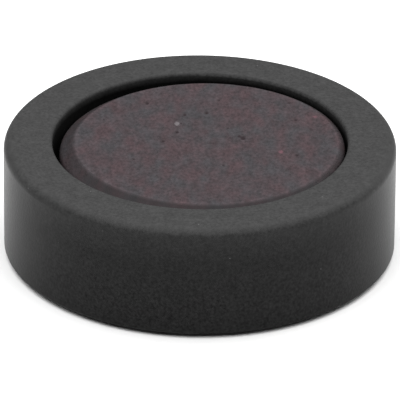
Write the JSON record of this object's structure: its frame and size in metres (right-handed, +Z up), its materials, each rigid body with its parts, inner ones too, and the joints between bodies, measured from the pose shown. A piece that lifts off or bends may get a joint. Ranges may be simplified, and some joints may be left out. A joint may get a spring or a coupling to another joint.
{
  "type": "security tag detacher",
  "caption": "Free-standing magnetic detacher for hard security tags: a round black collar with a loose ferrite disc stack in its pocket, closed by a screwed base on rubber feet.",
  "frame": {"origin": "middle of the circle of rubber feet, on the plane they stand on, on the collar's axis", "axes": "+Z up along the collar's axis towards the magnet's face; +X towards the side where the magnet lies nearest the pocket wall; +Y away from the front"},
  "size_m": [0.082, 0.082, 0.025],
  "materials": {
    "collar_black": "fine satin moulded black",
    "ferrite": "ground sintered ferrite, dull, mottled purple-grey",
    "plate_steel": "zinc-plated mild steel",
    "foam": "closed-cell foam sheet",
    "cover_black": "fine textured moulded black",
    "screw_steel": "bright zinc-plated",
    "insert_brass": "turned brass",
    "foot_rubber": "soft matt rubber"
  },
  "bodies": {
    "housing": {"collar": "collar_black", "back_plate": "plate_steel", "plate_cushion": "foam", "base_cover": "cover_black", "base_screw_1": "screw_steel", "base_screw_2": "screw_steel", "base_screw_3": "screw_steel", "base_screw_4": "screw_steel", "screw_insert_1": "insert_brass", "screw_insert_2": "insert_brass", "screw_insert_3": "insert_brass", "screw_insert_4": "insert_brass", "foot_1": "foot_rubber", "foot_2": "foot_rubber", "foot_3": "foot_rubber", "foot_4": "foot_rubber"},
    "magnet_stack": {"upper_magnet": "ferrite", "lower_magnet": "ferrite"}
  },
  "joints": [
    {"name": "magnet_lift", "type": "slide", "parent": "housing", "child": "magnet_stack", "axis": [0, 0, 1], "range_m": [0, 0.03]}
  ]
}
